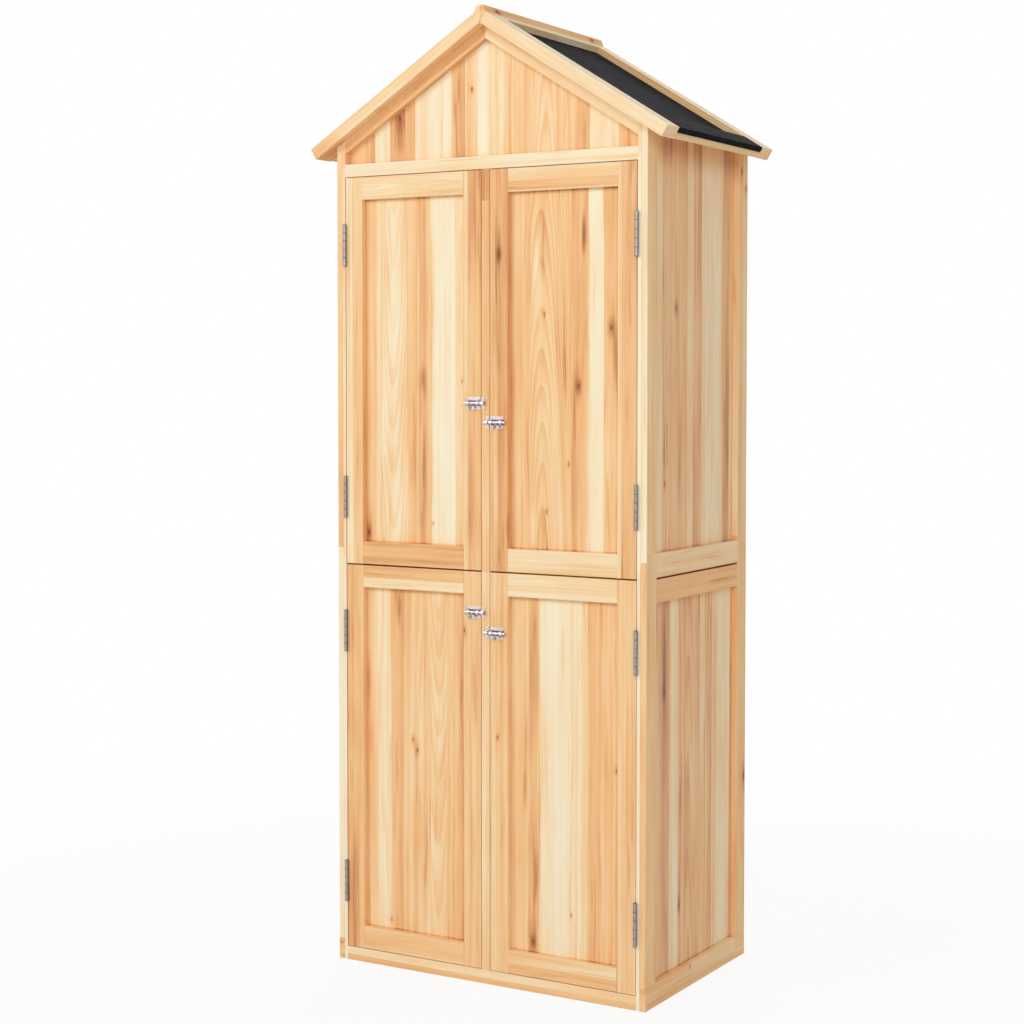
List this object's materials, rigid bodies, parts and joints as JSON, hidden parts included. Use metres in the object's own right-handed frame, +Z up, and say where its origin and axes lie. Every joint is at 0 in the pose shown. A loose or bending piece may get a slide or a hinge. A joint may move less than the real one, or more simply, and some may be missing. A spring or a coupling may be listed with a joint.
{
  "type": "garden storage cabinet",
  "caption": "Tall two-storey fir garden cabinet with a felted gable roof, framed plank doors on butt hinges, barrel bolts, shelves on one side and a tool bay on the other.",
  "frame": {"origin": "on the ground, below the middle of the roof's plan", "axes": "+X to the right as seen from the front, +Y from the doors to the back, +Z up"},
  "size_m": [0.8, 0.48, 1.9],
  "materials": {
    "fir_frame": "planed, untreated",
    "fir_boards": "planed, untreated",
    "fir_inside": "sawn, untreated",
    "roof_felt": "fine mineral, matt",
    "bolt_plate": "bright zinc",
    "bolt_bar": "bright zinc",
    "hinge_steel": "zinc",
    "screw_steel": "zinc"
  },
  "bodies": {
    "cabinet": {"back_lower_boards": "fir_boards", "back_rails": "fir_inside", "back_upper_boards": "fir_boards", "bolt_keepers": "bolt_plate", "carcass_screws": "screw_steel", "centre_divider": "fir_inside", "centre_posts": "fir_frame", "door_stops": "fir_inside", "eave_rails": "fir_frame", "floor_board": "fir_inside", "frame_hinge_leaves": "hinge_steel", "front_bottom_rail": "fir_frame", "gable_boards": "fir_boards", "gable_trims": "fir_frame", "head_rail": "fir_frame", "hinge_pins": "hinge_steel", "left_roof_end_battens": "fir_frame", "left_side_lower_boards": "fir_boards", "left_side_rails": "fir_frame", "left_side_stiles": "fir_frame", "left_side_upper_boards": "fir_boards", "ridge_bar": "fir_frame", "ridge_rails": "fir_frame", "right_roof_end_battens": "fir_frame", "right_side_lower_boards": "fir_boards", "right_side_rails": "fir_frame", "right_side_stiles": "fir_frame", "right_side_upper_boards": "fir_boards", "roof_decks": "fir_inside", "roof_felts": "roof_felt", "shelves": "fir_inside", "wall_battens": "fir_inside"},
    "upper_left_door": {"upper_left_door_stiles": "fir_frame", "upper_left_door_rails": "fir_frame", "upper_left_door_boards": "fir_boards", "upper_left_door_hinge_leaves": "hinge_steel", "upper_left_door_bolt_plate": "bolt_plate", "upper_left_door_screws": "screw_steel"},
    "upper_left_bolt": {"upper_left_door_bolt_bar": "bolt_bar"},
    "upper_right_door": {"upper_right_door_stiles": "fir_frame", "upper_right_door_rails": "fir_frame", "upper_right_door_boards": "fir_boards", "upper_right_door_hinge_leaves": "hinge_steel", "upper_right_door_bolt_plate": "bolt_plate", "upper_right_door_screws": "screw_steel"},
    "upper_right_bolt": {"upper_right_door_bolt_bar": "bolt_bar"},
    "lower_left_door": {"lower_left_door_stiles": "fir_frame", "lower_left_door_rails": "fir_frame", "lower_left_door_boards": "fir_boards", "lower_left_door_hinge_leaves": "hinge_steel", "lower_left_door_bolt_plate": "bolt_plate", "lower_left_door_screws": "screw_steel"},
    "lower_left_bolt": {"lower_left_door_bolt_bar": "bolt_bar"},
    "lower_right_door": {"lower_right_door_stiles": "fir_frame", "lower_right_door_rails": "fir_frame", "lower_right_door_boards": "fir_boards", "lower_right_door_hinge_leaves": "hinge_steel", "lower_right_door_bolt_plate": "bolt_plate", "lower_right_door_screws": "screw_steel"},
    "lower_right_bolt": {"lower_right_door_bolt_bar": "bolt_bar"}
  },
  "joints": [
    {"name": "upper_left_door_hinge", "type": "hinge", "parent": "cabinet", "child": "upper_left_door", "pos_m": [-0.32925, -0.2238, 1.2], "axis": [0, 0, -1], "range_deg": [0, 180]},
    {"name": "upper_right_door_hinge", "type": "hinge", "parent": "cabinet", "child": "upper_right_door", "pos_m": [0.32925, -0.2238, 1.2], "axis": [0, 0, 1], "range_deg": [0, 180]},
    {"name": "lower_left_door_hinge", "type": "hinge", "parent": "cabinet", "child": "lower_left_door", "pos_m": [-0.32925, -0.2238, 0.42], "axis": [0, 0, -1], "range_deg": [0, 180]},
    {"name": "lower_right_door_hinge", "type": "hinge", "parent": "cabinet", "child": "lower_right_door", "pos_m": [0.32925, -0.2238, 0.42], "axis": [0, 0, 1], "range_deg": [0, 180]},
    {"name": "upper_left_bolt_slide", "type": "slide", "parent": "upper_left_door", "child": "upper_left_bolt", "axis": [1, 0, 0], "range_m": [-0.004, 0.008]},
    {"name": "upper_right_bolt_slide", "type": "slide", "parent": "upper_right_door", "child": "upper_right_bolt", "axis": [-1, 0, 0], "range_m": [-0.004, 0.008]},
    {"name": "lower_left_bolt_slide", "type": "slide", "parent": "lower_left_door", "child": "lower_left_bolt", "axis": [1, 0, 0], "range_m": [-0.004, 0.008]},
    {"name": "lower_right_bolt_slide", "type": "slide", "parent": "lower_right_door", "child": "lower_right_bolt", "axis": [-1, 0, 0], "range_m": [-0.004, 0.008]}
  ]
}
